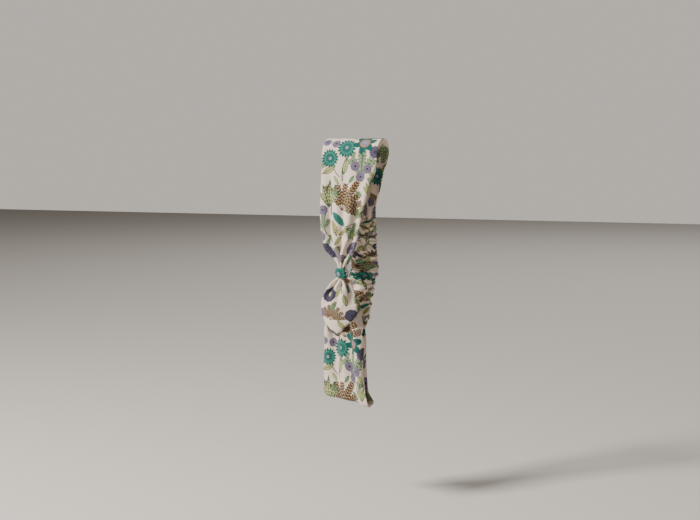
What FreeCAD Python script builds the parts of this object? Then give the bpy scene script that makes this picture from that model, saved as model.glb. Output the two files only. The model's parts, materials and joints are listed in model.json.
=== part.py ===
"""Knotted headband: a closed loop of cotton band with a knot in front and a gathered elastic back.

The loop hangs over a round rail. X runs along the rail, -Y is the front of the loop, +Z is up, and
the origin is on the rail's axis at the middle of the band. Lengths are in millimetres.

The loop folds about four lines along X: the rail's axis, the knot, the bottom fold and the middle of
the elastic. The fold's line is the sum of the other two, so opposite sides stay parallel as it opens.
"""

import FreeCAD
import Part
import os

from FreeCAD import Vector

# The rail and the cloth
rail_radius = 12.5
rail_play = 0.1
cloth = 0.3
layer_gap = 0.1
body_gap = 0.3
band_width = 51.0

# The lines that the loop folds about, as (y, z)
rail_axis = (0.0, 0.0)
knot_axis = (-17.0, -99.0)
elastic_axis = (14.0, -104.5)
fold_axis = (knot_axis[0] + elastic_axis[0], knot_axis[1] + elastic_axis[1])

# The knot, and how far the bodies beside it stay from its line
knot_x = -5.2
knot_radius = 6.0
knot_height = 9.0
knot_rounding = 3.0
knot_clearance = 7.0
gathers_radius = 3.3
gathers_length = 10.0
gathers_layer = 2.6
tack_count = 3
tack_pitch = 1.2
tack_length = 4.0

# The bottom fold
fold_inner_radius = 5.9
fold_left = -27.5
fold_right = 18.5

# The gathered back: a casing round a strip of elastic
casing_depth = 6.4
casing_slot_depth = 2.4
casing_edge_wall = 2.0
casing_left = -11.0
casing_right = 13.0
casing_lower_shift = -5.2
elastic_depth = 1.2
elastic_inset = 2.6
upper_join_z = -55.0
lower_join_z = -149.0
tongue = 8.0
bend_room = 4.2
middle_length = 9.0
stretch_start_gap = 0.6

# Stitches across the joins
thread = 0.4
stitch_length = 2.2
stitches_in_row = 7
stitch_inset = 4.0
stitch_lift = 0.25

half_gap = layer_gap / 2
band_half = cloth + half_gap
saddle_inner_radius = rail_radius + rail_play
leg_offset = saddle_inner_radius + 2 * band_half + body_gap + band_half
fold_leg_offset = fold_inner_radius + 2 * band_half + body_gap + band_half


def rectangle(left, right, near, far, z):
    corners = [(left, near), (right, near), (right, far), (left, far), (left, near)]
    return Part.makePolygon([Vector(x, y, z) for x, y in corners])


def loft_through(rectangles):
    return Part.makeLoft([rectangle(*edges) for edges in rectangles], True, True)


def cloth_layer(stations, side):
    """One of the band's two layers, on the side of larger y (+1) or of smaller y (-1). A station is
    (z, left, right, y, half of the gap between the layers, the layer's thickness)."""
    rectangles = []
    for z, left, right, y, gap, thickness in stations:
        near, far = sorted((y + side * gap, y + side * (gap + thickness)))
        rectangles.append((left, right, near, far, z))
    return loft_through(rectangles)


def half_tube(inner, axis, left, right, side):
    """A layer of cloth bent round a line along X, above it (+1) or below it (-1)."""
    y, z = axis
    outer = inner + cloth
    start = Vector(left, y, z)
    tube = Part.makeCylinder(outer, right - left, start, Vector(1, 0, 0))
    tube = tube.cut(Part.makeCylinder(inner, right - left, start, Vector(1, 0, 0)))
    half = Part.makeBox(right - left, 2 * outer, outer)
    half.translate(Vector(left, y - outer, z if side > 0 else z - outer))
    return tube.common(half)


def top_layers():
    """The stretch of the band that lies on the rail."""
    edge = band_width / 2
    outer_inner = saddle_inner_radius + cloth + layer_gap
    return {
        "band_top_lining": half_tube(saddle_inner_radius, rail_axis, -edge, edge, 1),
        "band_top_outer": half_tube(outer_inner, rail_axis, -edge, edge, 1),
    }


def front_layers():
    """The band from the rail down to the gathers above the knot, thicker where it is gathered."""
    knot_y, knot_z = knot_axis
    end_z = knot_z + knot_clearance
    stations = [
        (0.0, -25.5, 25.5, -leg_offset, half_gap, cloth),
        (-21.0, -25.6, 22.9, -leg_offset - 0.3, half_gap, cloth),
        (-51.0, -25.4, 12.9, -leg_offset - 1.2, half_gap, 0.5),
        (-74.0, -24.5, 8.6, -leg_offset - 2.4, half_gap, 1.0),
        (-84.0, -17.0, 4.4, knot_y, half_gap, 2.0),
        (end_z, knot_x - 4.2, knot_x + 4.2, knot_y, half_gap, gathers_layer),
    ]
    return {
        "band_front_outer": cloth_layer(stations, -1),
        "band_front_lining": cloth_layer(stations, 1),
    }


def knot():
    """The wrap, the gathered middle of the band inside it, and the tacks that close it behind."""
    y, z = knot_axis
    foot = Vector(knot_x, y, z - knot_height / 2)
    wrap = Part.makeCylinder(knot_radius, knot_height, foot)
    rims = [edge for edge in wrap.Edges if isinstance(edge.Curve, Part.Circle)]
    wrap = wrap.makeFillet(knot_rounding, rims)
    wrap = wrap.cut(Part.makeCylinder(gathers_radius + layer_gap, knot_height, foot))
    gathers_foot = Vector(knot_x, y, z - gathers_length / 2)
    tacks = []
    for number in range(tack_count):
        step = number - (tack_count - 1) / 2
        corner = Vector(
            knot_x + step * tack_pitch - thread / 2,
            y + knot_radius + 0.02,
            z - tack_length / 2 + 0.5 * step,
        )
        tacks.append(Part.makeBox(thread, thread, tack_length, corner))
    return {
        "knot_wrap": wrap,
        "band_centre_gathers": Part.makeCylinder(gathers_radius, gathers_length, gathers_foot),
        "knot_tack_stitches": Part.makeCompound(tacks),
    }


def lobe_layers():
    """The puffed lobe below the knot, which ends in a pointed fold over the flat band."""
    knot_y, knot_z = knot_axis
    top_z = knot_z - knot_clearance
    stations = [
        (top_z, knot_x - 3.8, knot_x + 3.8, knot_y, half_gap, gathers_layer),
        (-112.0, -16.5, 3.1, -18.0, half_gap, 1.0),
        (-121.0, -21.0, 4.8, -19.4, half_gap, 0.6),
        (-131.0, -23.0, 7.4, -20.0, half_gap, 0.5),
        (-139.0, -21.0, 4.0, -19.8, half_gap, 0.5),
        (-146.0, -14.5, -1.5, -19.4, half_gap, 0.5),
        (-152.0, -8.8, -5.6, -19.0, half_gap, 0.5),
    ]
    return {
        "band_lobe_outer": cloth_layer(stations, -1),
        "band_lobe_lining": cloth_layer(stations, 1),
    }


def lower_layers():
    """The flat band that comes out from under the lobe and runs down to the bottom fold."""
    fold_y, fold_z = fold_axis
    stations = [
        (-112.0, -9.0, 2.0, -15.0, half_gap, cloth),
        (-131.0, -17.0, 8.0, -16.2, half_gap, cloth),
        (-145.0, -21.0, 12.7, -16.2, half_gap, cloth),
        (-158.0, -22.7, 14.5, -15.4, half_gap, cloth),
        (-180.0, -25.2, 16.4, -12.6, half_gap, cloth),
        (fold_z, fold_left + 0.4, fold_right - 0.4, fold_y - fold_leg_offset, half_gap, cloth),
    ]
    return {
        "band_lower_outer": cloth_layer(stations, -1),
        "band_lower_lining": cloth_layer(stations, 1),
    }


def fold_layers():
    """The band's turn at the bottom of the loop."""
    outer_inner = fold_inner_radius + cloth + layer_gap
    return {
        "band_fold_lining": half_tube(fold_inner_radius, fold_axis, fold_left, fold_right, -1),
        "band_fold_outer": half_tube(outer_inner, fold_axis, fold_left, fold_right, -1),
    }


def back_line(z):
    """The (left, right, y) of the gathered back: straight down, then towards the bottom fold."""
    elastic_y, elastic_z = elastic_axis
    below = max(0.0, elastic_z - z)
    shift = casing_lower_shift * below / (elastic_z - lower_join_z)
    slope = (elastic_y - fold_axis[0]) / (elastic_z - fold_axis[1])
    return (casing_left + shift, casing_right + shift, elastic_y - slope * below)


def back_block(inset, depth, high, low):
    """A block that follows the gathered back between two heights, set in from both its edges."""
    rectangles = []
    for z in (high, low):
        left, right, y = back_line(z)
        rectangles.append((left + inset, right - inset, y - depth / 2, y + depth / 2, z))
    return loft_through(rectangles)


def casing(high, low):
    """A stretch of the gathered casing, hollow for the elastic."""
    outside = back_block(0.0, casing_depth, high, low)
    return outside.cut(back_block(casing_edge_wall, casing_slot_depth, high, low))


def gathered_back():
    """The casing and the elastic in it, each as an upper, a middle and a lower stretch."""
    middle_low = elastic_axis[1] + bend_room
    middle_high = middle_low + middle_length
    upper_low = middle_high + stretch_start_gap
    lower_high = elastic_axis[1] - bend_room
    elastic = (elastic_inset, elastic_depth)
    return {
        "casing_upper": casing(upper_join_z, upper_low),
        "casing_middle": casing(middle_high, middle_low),
        "casing_lower": casing(lower_high, lower_join_z),
        "elastic_upper": back_block(*elastic, upper_join_z - 1.0, upper_low),
        "elastic_middle": back_block(*elastic, middle_high, middle_low),
        "elastic_lower": back_block(*elastic, lower_high, lower_join_z + 1.0),
    }


def tongue_stations(heights):
    """Where a flap of the band goes into the casing, one layer on each side of the elastic."""
    gap = elastic_depth / 2 + half_gap
    stations = []
    for z in heights:
        left, right, y = back_line(z)
        stations.append((z, left + elastic_inset, right - elastic_inset, y, gap, cloth))
    return stations


def upper_flap_layers():
    """The band behind the rail, which narrows and ends as a tongue in the casing."""
    stations = [
        (0.0, -25.0, 25.0, leg_offset, half_gap, cloth),
        (-13.0, -21.0, 21.0, leg_offset, half_gap, cloth),
        (-30.0, -16.0, 17.8, leg_offset, half_gap, cloth),
        (-44.0, -12.0, 13.0, leg_offset, 0.3, cloth),
    ]
    stations += tongue_stations((upper_join_z + 0.3, upper_join_z - tongue))
    return {
        "back_flap_upper_outer": cloth_layer(stations, 1),
        "back_flap_upper_lining": cloth_layer(stations, -1),
    }


def lower_flap_layers():
    """The band between the casing's lower end and the bottom fold."""
    fold_y, fold_z = fold_axis
    stations = tongue_stations((lower_join_z + tongue, lower_join_z - 0.3))
    stations += [
        (-168.0, -19.0, 7.0, 5.0, half_gap, cloth),
        (-187.0, -24.0, 9.0, 4.4, half_gap, cloth),
        (fold_z, fold_left + 0.4, 13.0, fold_y + fold_leg_offset, half_gap, cloth),
    ]
    return {
        "back_flap_lower_outer": cloth_layer(stations, 1),
        "back_flap_lower_lining": cloth_layer(stations, -1),
    }


def stitch_row(z):
    """A row of stitches on each face of the casing, lifted just clear of the cloth."""
    left, right, y = back_line(z)
    pitch = (right - left - 2 * elastic_inset) / stitches_in_row
    stitches = []
    for number in range(stitches_in_row):
        x = left + elastic_inset + (number + 0.5) * pitch
        for side in (-1, 1):
            middle_y = y + side * (casing_depth / 2 + stitch_lift + thread / 2)
            corner = Vector(x - stitch_length / 2, middle_y - thread / 2, z - thread / 2)
            stitches.append(Part.makeBox(stitch_length, thread, thread, corner))
    return Part.makeCompound(stitches)


def join_stitches():
    return {
        "upper_join_stitches": stitch_row(upper_join_z - stitch_inset),
        "lower_join_stitches": stitch_row(lower_join_z + stitch_inset),
    }


def write_step(name, shape):
    closed = all(solid.isClosed() for solid in shape.Solids)
    if not (shape.isValid() and closed):
        print("NOT SOUND:", name)
    shape.exportStep(os.path.join("parts", name + ".step"))
    print(f"{name:24} solids {len(shape.Solids):2}  volume {shape.Volume:9.2f} mm3")


groups = [
    top_layers(),
    front_layers(),
    knot(),
    lobe_layers(),
    lower_layers(),
    fold_layers(),
    gathered_back(),
    upper_flap_layers(),
    lower_flap_layers(),
    join_stitches(),
]

os.makedirs("parts", exist_ok=True)
for group in groups:
    for node_name, node_shape in group.items():
        write_step(node_name, node_shape)
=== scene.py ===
import bisect
import json
import math

import bmesh
import bpy
import numpy as np
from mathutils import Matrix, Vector, noise


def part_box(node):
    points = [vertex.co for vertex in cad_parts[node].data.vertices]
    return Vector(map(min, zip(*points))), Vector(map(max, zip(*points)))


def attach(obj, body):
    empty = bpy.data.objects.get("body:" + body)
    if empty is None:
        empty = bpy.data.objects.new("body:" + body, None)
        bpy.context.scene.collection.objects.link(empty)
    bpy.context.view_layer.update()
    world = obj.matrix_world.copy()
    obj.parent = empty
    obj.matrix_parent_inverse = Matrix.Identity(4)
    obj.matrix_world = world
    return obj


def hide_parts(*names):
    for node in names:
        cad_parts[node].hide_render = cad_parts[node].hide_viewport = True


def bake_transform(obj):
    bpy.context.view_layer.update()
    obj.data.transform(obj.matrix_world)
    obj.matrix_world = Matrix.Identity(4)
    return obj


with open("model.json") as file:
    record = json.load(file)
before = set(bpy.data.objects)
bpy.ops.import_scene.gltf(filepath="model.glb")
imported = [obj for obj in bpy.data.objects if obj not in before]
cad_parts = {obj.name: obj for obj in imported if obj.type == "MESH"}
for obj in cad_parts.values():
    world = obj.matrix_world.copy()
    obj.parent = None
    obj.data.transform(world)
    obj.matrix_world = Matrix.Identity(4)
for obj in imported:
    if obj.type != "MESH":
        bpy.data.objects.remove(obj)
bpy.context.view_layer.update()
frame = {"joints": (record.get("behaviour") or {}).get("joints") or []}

mm = 0.001

# the lines the loop folds about, as (y, z) in millimetres, read from the frame's hinges
foldLine = {
    joint["name"]: (joint["pos_m"][1] / mm, joint["pos_m"][2] / mm)
    for joint in frame["joints"]
    if joint["type"] == "hinge"
}
knotY, knotZ = foldLine["knot_top_bend"]
elasticY, elasticZ = foldLine["elastic_bend"]
foldY, foldZ = foldLine["fold_back_bend"]

# where the two joins and the knot sit, read from the CAD nodes
wrapLow, wrapHigh = (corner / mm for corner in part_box("knot_wrap"))
knotX = (wrapLow.x + wrapHigh.x) / 2
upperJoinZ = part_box("casing_upper")[1].z / mm
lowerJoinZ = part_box("casing_lower")[0].z / mm
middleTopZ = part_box("casing_middle")[1].z / mm
railRadius = -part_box("band_top_lining")[0].y / mm

cloth = {
    "thickness": 1.0,  # outer layer and lining together, a little puffed
    "fineness": 0.75,  # size of a mesh face
    "ringRadius": railRadius + 0.6,
    "railLeft": -25.4,  # the band's edges on top of the rail
    "railRight": 26.0,
    "foldRadius": 6.2,
    "creaseSize": 0.35,
    "rollTurn": 5.5,  # how much cloth an edge takes to roll under
    "steepest": 2.15,  # heading of the deepest fold, in radians
}

# the print repeats across and down the cloth; bands of it, each a material, lie one below another
printed = {"across": 56.0, "down": 170.0, "bands": 4, "spare": 4.0, "atRail": -10.0}


# small helpers

def smooth(value, start, end):
    part = min(1.0, max(0.0, (value - start) / (end - start)))
    return part * part * (3 - 2 * part)


def through(stations, place):
    # a smooth curve through rows of (place, value, value, ...)
    places = [row[0] for row in stations]
    if place <= places[0]:
        return list(stations[0][1:])
    if place >= places[-1]:
        return list(stations[-1][1:])
    index = bisect.bisect_right(places, place) - 1
    a, b = stations[index], stations[index + 1]
    before = stations[max(index - 1, 0)]
    after = stations[min(index + 2, len(stations) - 1)]
    span = b[0] - a[0]
    part = (place - a[0]) / span
    values = []
    for column in range(1, len(a)):
        slopeA = (b[column] - before[column]) / (b[0] - before[0]) * span
        slopeB = (after[column] - a[column]) / (after[0] - a[0]) * span
        values.append(
            a[column] * (1 + 2 * part) * (1 - part) ** 2
            + slopeA * part * (1 - part) ** 2
            + b[column] * part * part * (3 - 2 * part)
            + slopeB * part * part * (part - 1)
        )
    return values


def gatheredRow(width, extent, tilt=0.0, bulge=0.0, curlLeft=0.0, curlRight=0.0,
                folds=4.0, shift=0.0, rollLeft=6.0, rollRight=6.0):
    # one row across the cloth, drawn by its heading so that it keeps its cut width:
    # what the extent leaves over goes into folds, and the edges may roll to the back
    count = 129
    arc = np.linspace(0.0, width, count)
    part = arc / width
    leftCurl = np.clip((rollLeft - arc) / cloth["rollTurn"], 0, 1)
    rightCurl = np.clip((rollRight - (width - arc)) / cloth["rollTurn"], 0, 1)
    leftCurl = leftCurl ** 2 * (3 - 2 * leftCurl)
    rightCurl = rightCurl ** 2 * (3 - 2 * rightCurl)
    base = bulge * (2 * part - 1) - curlLeft * leftCurl + curlRight * rightCurl
    wave = np.sin(2 * math.pi * (folds * part + shift))
    wave = wave + 0.3 * np.sin(2 * math.pi * (folds * 0.55 * part + 2.3 * shift + 0.3))
    wave = wave * (1 - 0.85 * leftCurl) * (1 - 0.85 * rightCurl)
    step = width / (count - 1)

    def curve(amount):
        heading = base + amount * wave
        middle = (heading[1:] + heading[:-1]) / 2
        x = np.concatenate([[0.0], np.cumsum(np.cos(middle)) * step])
        y = np.concatenate([[0.0], np.cumsum(np.sin(middle)) * step])
        return x, y

    low, high = 0.0, cloth["steepest"]
    for _ in range(18):
        middle = (low + high) / 2
        x, y = curve(middle)
        if x.max() - x.min() > extent:
            low = middle
        else:
            high = middle
    x, y = curve(high)
    x = (x - (x.max() + x.min()) / 2) * (extent / (x.max() - x.min()))
    face = (part > 0.1) & (part < 0.7)
    slope, level = np.polyfit(part[face], y[face], 1)
    y = y - level - slope * part
    cosine, sine = math.cos(tilt), math.sin(tilt)
    return arc, x * cosine - y * sine, x * sine + y * cosine


def rowPoint(rows, place, partAcross, *row, **shape):
    # a row is drawn once, and kept by its place along the cloth
    key = round(place, 3)
    if key not in rows:
        rows[key] = gatheredRow(*row, **shape)
    arc, x, y = rows[key]
    along = partAcross * arc[-1]
    return np.interp(along, arc, x), np.interp(along, arc, y)


def wrinkle(point, size, depth):
    return depth * noise.noise(Vector(point) / size)


def pieceFrom(bm, name):
    for face in bm.faces:
        face.smooth = True
    mesh = bpy.data.meshes.new(name)
    bm.to_mesh(mesh)
    bm.free()
    piece = bpy.data.objects.new(name, mesh)
    bpy.context.scene.collection.objects.link(piece)
    return piece


def clothGrid(name, across, along, place, cut, flip=False, closed=False, meets=""):
    # a grid is the cut cloth; place(part across, part along) says where each point hangs.
    # the cut size in metres goes into the UV map, so a print on it isn't stretched.
    # an end that meets the next piece ("start", "end") stays square, so that no groove shows
    nearly = 0.00001
    bm = bmesh.new()
    layer = bm.loops.layers.uv.new("cut")
    bmesh.ops.create_grid(bm, x_segments=across, y_segments=along, size=0.5)
    bandHeight = printed["down"] / printed["bands"] * mm
    for face in bm.faces:
        for loop in face.loops:
            loop[layer].uv = cut(loop.vert.co.x + 0.5, 0.5 - loop.vert.co.y)
        down = sum(loop[layer].uv.y for loop in face.loops) / len(face.loops)
        face.material_index = int(down // bandHeight) % printed["bands"]
    hard = bm.edges.layers.float.new("crease_edge")
    for side, level in (("start", 0.5), ("end", -0.5)):
        for edge in bm.edges:
            if side in meets and all(abs(vert.co.y - level) < nearly for vert in edge.verts):
                edge[hard] = 1.0
                edge.smooth = False
    for vert in bm.verts:
        vert.co = Vector(place(vert.co.x + 0.5, 0.5 - vert.co.y)) * mm
    if closed:
        bmesh.ops.remove_doubles(bm, verts=bm.verts, dist=nearly)
    if flip:
        bmesh.ops.reverse_faces(bm, faces=bm.faces)
    return pieceFrom(bm, name)


def soften(piece):
    rounded = piece.modifiers.new("soft", "SUBSURF")
    rounded.levels = 1
    rounded.render_levels = 1


def clothStrip(name, start, end, point, cut, across, thickness=cloth["thickness"],
               fineness=cloth["fineness"], offset=0.0, **ends):
    # cloth from start to end along the loop; point and cut take the part across and the place along
    def placeAt(part):
        return start + (end - start) * part

    piece = clothGrid(
        name, across, round(abs(end - start) / fineness),
        lambda a, b: point(a, placeAt(b)), lambda a, b: cut(a, placeAt(b)), **ends,
    )
    layers = piece.modifiers.new("layers", "SOLIDIFY")
    layers.thickness = thickness * mm
    layers.offset = offset
    layers.use_even_offset = False
    soften(piece)
    return piece


def overRail(x, down, side, seed):
    # cloth lying on the rail, to the front (side -1) or to the back (side 1)
    angle = down / cloth["ringRadius"]
    lift = (wrinkle((x, down, seed), 17.0, 0.25) + 0.15) * smooth(angle, 0.0, 0.4)
    radius = cloth["ringRadius"] + lift
    return (x, side * radius * math.sin(angle), radius * math.cos(angle))


def creaseDepth(creases, partAcross, width, below):
    depth = 0.0
    fadeStart, fadeEnd = creases["fadeOut"]
    for top, foot, start, end, deep in creases["lines"]:
        line = top + (foot - top) * (below - start) / (end - start)
        away = (partAcross - line) * width / creases["wide"]
        fade = smooth(below, start, start + creases["fadeIn"])
        fade *= 1 - smooth(below, end + fadeStart, end + fadeEnd)
        depth += deep * fade * (math.exp(-away * away) - creases["ridge"] * math.exp(-away * away / 5))
    return depth


# the band over the rail and down to the knot

# down is the distance along the band from the top of the rail, in millimetres
quarterRing = cloth["ringRadius"] * math.pi / 2

frontBand = {
    "width": 51.0,
    "split": quarterRing + 42.0,
    "end": quarterRing + 97.5,
    # below the rail: left, right, y, tilt, bulge, left curl, right curl, length of the right roll
    "stations": [
        (0.0, -25.4, 26.0, -13.4, 0.00, 0.00, 0.0, 0.0, 4.0),
        (8.0, -25.6, 24.6, -13.7, 0.00, 0.00, 0.0, 1.2, 4.0),
        (18.0, -25.7, 21.4, -13.8, 0.01, 0.02, 0.1, 2.4, 5.5),
        (28.0, -25.8, 17.6, -14.0, 0.02, 0.04, 0.2, 2.8, 7.5),
        (41.0, -25.8, 13.6, -14.4, 0.03, 0.08, 0.2, 2.9, 9.0),
        (51.0, -25.7, 10.8, -14.8, 0.04, 0.12, 0.3, 2.9, 10.0),
        (60.0, -25.4, 8.8, -15.2, 0.04, 0.16, 0.4, 2.9, 11.0),
        (72.0, -24.6, 6.2, -15.8, 0.03, 0.24, 0.6, 2.7, 11.0),
        (79.0, -22.2, 4.8, -16.4, 0.02, 0.28, 0.8, 2.2, 9.0),
        (84.5, -16.6, 3.0, -16.8, 0.00, 0.28, 0.6, 1.4, 7.0),
        (90.0, -10.8, -0.2, -17.0, 0.00, 0.20, 0.3, 0.4, 6.0),
        (94.5, -9.2, -1.2, -17.0, 0.00, 0.00, 0.0, 0.0, 6.0),
        (98.0, -8.9, -1.5, -17.0, 0.00, 0.00, 0.0, 0.0, 6.0),
    ],
}
frontRows = {}
frontCreases = {
    "wide": 1.7,
    "ridge": 0.35,
    "fadeIn": 14.0,
    "fadeOut": (-2.0, 5.0),
    # they run down into the knot: part across at the top and at the foot, from, to, depth
    "lines": [
        (0.17, 0.27, 50.0, 88.0, 1.5),
        (0.36, 0.42, 64.0, 90.0, 1.1),
        (0.66, 0.56, 54.0, 90.0, 1.7),
        (0.50, 0.50, 70.0, 91.0, 1.2),
    ],
}


def frontPoint(partAcross, down):
    if down < quarterRing:
        x = cloth["railLeft"] + (cloth["railRight"] - cloth["railLeft"]) * partAcross
        return overRail(x, down, -1, 3.0)
    below = down - quarterRing
    left, right, y, tilt, bulge, curlLeft, curlRight, roll = through(frontBand["stations"], below)
    rowX, rowY = rowPoint(
        frontRows, below, partAcross, frontBand["width"], right - left, tilt, bulge,
        curlLeft, curlRight, folds=3.7, shift=-0.05 - 0.0035 * below, rollRight=roll,
    )
    x = (left + right) / 2 + rowX
    ripple = wrinkle((x, 40.0, below), 13.0, 0.7) * smooth(below, 5.0, 40.0)
    ripple *= 1 - smooth(below, 84.0, 94.0)
    ripple += creaseDepth(frontCreases, partAcross, frontBand["width"], below)
    return (x, y + rowY + ripple, -below)


def frontCut(partAcross, down):
    return ((partAcross - 0.5) * frontBand["width"] * mm, (down + printed["atRail"]) * mm)


def frontStrip(name, start, end, meets):
    across = round(frontBand["width"] / cloth["fineness"])
    return clothStrip(name, start, end, frontPoint, frontCut, across, flip=True, meets=meets)


print("band over the rail and upper front")
bandTop = frontStrip("band_top_and_front", 0.0, frontBand["split"], "start end")
bandGathers = frontStrip("band_gathers_above_knot", frontBand["split"], frontBand["end"], "start")

# the wrap of the knot

wrapShape = {
    "radius": 5.5,
    "height": 7.6,
    "wall": 1.9,
    "around": 72,
    "section": 40,
    "tilt": 0.12,
    "seam": 0.72,  # the part round it where the strip's ends meet
    "printLong": 38.0,
    "printWide": 24.0,
    "printAt": (-3.0, 6.0),
}


def wrapPoint(around, section):
    angle = 2 * math.pi * around
    turn = 2 * math.pi * (section + 0.5)
    # the wall's section: a flat loop, folded lengthways as the strip is pulled tight
    height = wrapShape["height"] / 2 * math.copysign(abs(math.sin(turn)) ** 0.75, math.sin(turn))
    out = wrapShape["wall"] / 2 * math.copysign(abs(math.cos(turn)) ** 0.6, math.cos(turn))
    level = height / (wrapShape["height"] / 2)
    pinch = 1 - 0.16 * math.cos(2 * (angle - 0.4)) * abs(level)
    radius = wrapShape["radius"] - wrapShape["wall"] / 2 + out
    if out > 0:
        lean = 0.22 * math.sin(angle + 0.6)
        crease = abs(math.sin(1.9 * math.pi * (level * 0.5 + 0.5 + lean)))
        radius += 0.95 * crease ** 0.7 - 0.6 - 0.4 * level * level
        radius += wrinkle((angle * 2, level * 2, 1.0), 0.9, 0.3) * min(1.0, out)
    x = knotX + radius * math.cos(angle) * 1.02
    y = knotY + radius * math.sin(angle) * 0.97
    rise = wrapShape["tilt"] * (x - knotX)
    return (x, y, knotZ + height * pinch - rise)


def wrapCut(around, section):
    across = (around - wrapShape["seam"]) * wrapShape["printLong"] + wrapShape["printAt"][0]
    down = (section - 0.5) * wrapShape["printWide"] + wrapShape["printAt"][1]
    return (across * mm, down * mm)


print("knot wrap")
knotWrap = clothGrid(
    "knot_wrap_cloth", wrapShape["around"], wrapShape["section"], wrapPoint, wrapCut, closed=True,
)
soften(knotWrap)

# the lobe below the knot, with its pointed fold

lobe = {
    "start": 97.0,
    "end": 153.0,
    "across": 64,
    "thickness": 0.9,
    "roll": 7.0,
    # below the rail: left, right, y, cut width, bulge, left curl, right curl
    "stations": [
        (97.0, -8.9, -1.5, -17.0, 40.0, 0.00, 0.0, 0.0),
        (102.5, -9.6, -0.8, -17.2, 40.0, 0.10, 0.2, 0.2),
        (106.0, -12.4, 0.8, -17.8, 40.0, 0.50, 0.8, 0.8),
        (111.0, -16.8, 2.6, -18.8, 40.5, 0.75, 1.4, 1.6),
        (119.0, -21.2, 4.9, -19.8, 41.5, 0.80, 1.7, 2.2),
        (128.0, -23.2, 7.0, -20.2, 41.5, 0.70, 1.8, 2.6),
        (134.0, -22.9, 7.0, -20.2, 39.5, 0.62, 2.0, 2.9),
        (139.5, -20.6, 3.4, -20.0, 33.0, 0.56, 2.4, 3.0),
        (146.0, -15.0, -3.4, -19.6, 20.0, 0.45, 2.8, 3.0),
        (150.5, -11.2, -6.2, -19.2, 11.0, 0.20, 2.8, 2.9),
        (153.0, -9.4, -7.4, -19.0, 8.0, 0.00, 2.8, 2.8),
    ],
}
lobeRows = {}
lobeCreases = {
    "wide": 1.6,
    "ridge": 0.0,
    "fadeIn": 4.0,
    "fadeOut": (-12.0, 0.0),
    # they run up into the knot
    "lines": [
        (0.30, 0.16, 99.0, 124.0, 1.3),
        (0.46, 0.42, 99.0, 121.0, 1.2),
        (0.62, 0.70, 99.0, 126.0, 1.5),
        (0.78, 0.88, 100.0, 122.0, 1.0),
    ],
}


def lobePoint(partAcross, below):
    left, right, y, width, bulge, curlLeft, curlRight = through(lobe["stations"], below)
    roll = min(lobe["roll"], width * 0.45)
    rowX, rowY = rowPoint(
        lobeRows, below, partAcross, width, right - left, 0.0, bulge, curlLeft, curlRight,
        folds=3.6, shift=0.15 + 0.004 * below, rollLeft=roll, rollRight=roll,
    )
    x = (left + right) / 2 + rowX
    ripple = wrinkle((x, 90.0, below), 11.0, 0.8) * smooth(below, 104.0, 116.0)
    ripple *= 1 - smooth(below, 142.0, 150.0)
    ripple += creaseDepth(lobeCreases, partAcross, width, below)
    return (x, y + rowY + ripple, -below)


def lobeCut(partAcross, below):
    left, right, _, width, *_ = through(lobe["stations"], below)
    return (((left + right) / 2 + (partAcross - 0.5) * width + 1.0) * mm, (below - 1.5) * mm)


print("lobe")
bandLobe = clothStrip(
    "band_lobe", lobe["start"], lobe["end"], lobePoint, lobeCut, lobe["across"],
    thickness=lobe["thickness"], flip=True,
)

# the flat band below the lobe, down to the middle of the bottom fold

halfTurn = cloth["foldRadius"] * math.pi / 2
lowerBand = {
    "width": 50.0,
    "start": 110.0,
    "printAcross": 1.2,
    "printDown": 12.0,
    # below the rail: left, right, y, tilt, bulge, left curl, right curl
    "stations": [
        (110.0, -9.0, 1.0, -14.6, -0.05, 0.0, 0.3, 0.3),
        (118.0, -13.0, 3.0, -14.4, -0.08, 0.0, 0.5, 0.6),
        (131.0, -18.5, 4.8, -13.9, -0.12, 0.0, 0.8, 0.8),
        (140.0, -21.0, 7.4, -14.2, -0.16, 0.05, 0.8, 0.8),
        (148.0, -22.6, 10.2, -15.0, -0.18, 0.10, 0.7, 0.9),
        (153.0, -23.2, 13.8, -15.4, -0.18, 0.12, 0.5, 1.0),
        (158.0, -23.8, 15.6, -15.3, -0.18, 0.12, 0.5, 1.2),
        (172.0, -26.2, 15.0, -13.6, -0.17, 0.10, 0.3, 1.6),
        (183.0, -27.2, 14.9, -12.0, -0.15, 0.06, 0.1, 1.6),
        (191.0, -27.8, 16.2, -10.9, -0.14, 0.04, 0.0, 1.0),
        (198.0, -28.4, 17.8, -10.0, -0.13, 0.00, 0.0, 0.3),
        (203.5, -28.6, 19.0, -9.3, -0.13, 0.00, 0.0, 0.0),
    ],
}
lowerRows = {}


def foldLineAt(x):
    # the bottom fold lies a little out of square with the rail, and at its right end it is
    # pinched and hangs lower: gives where its line runs, and its radius
    pinch = smooth(x, -6.0, 19.0)
    lineY = foldY - 0.118 * x + 0.4 - 2.0 * pinch
    return lineY, foldZ - 3.2 * pinch - 0.085 * (x + 5.0), cloth["foldRadius"] - 3.2 * pinch


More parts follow.
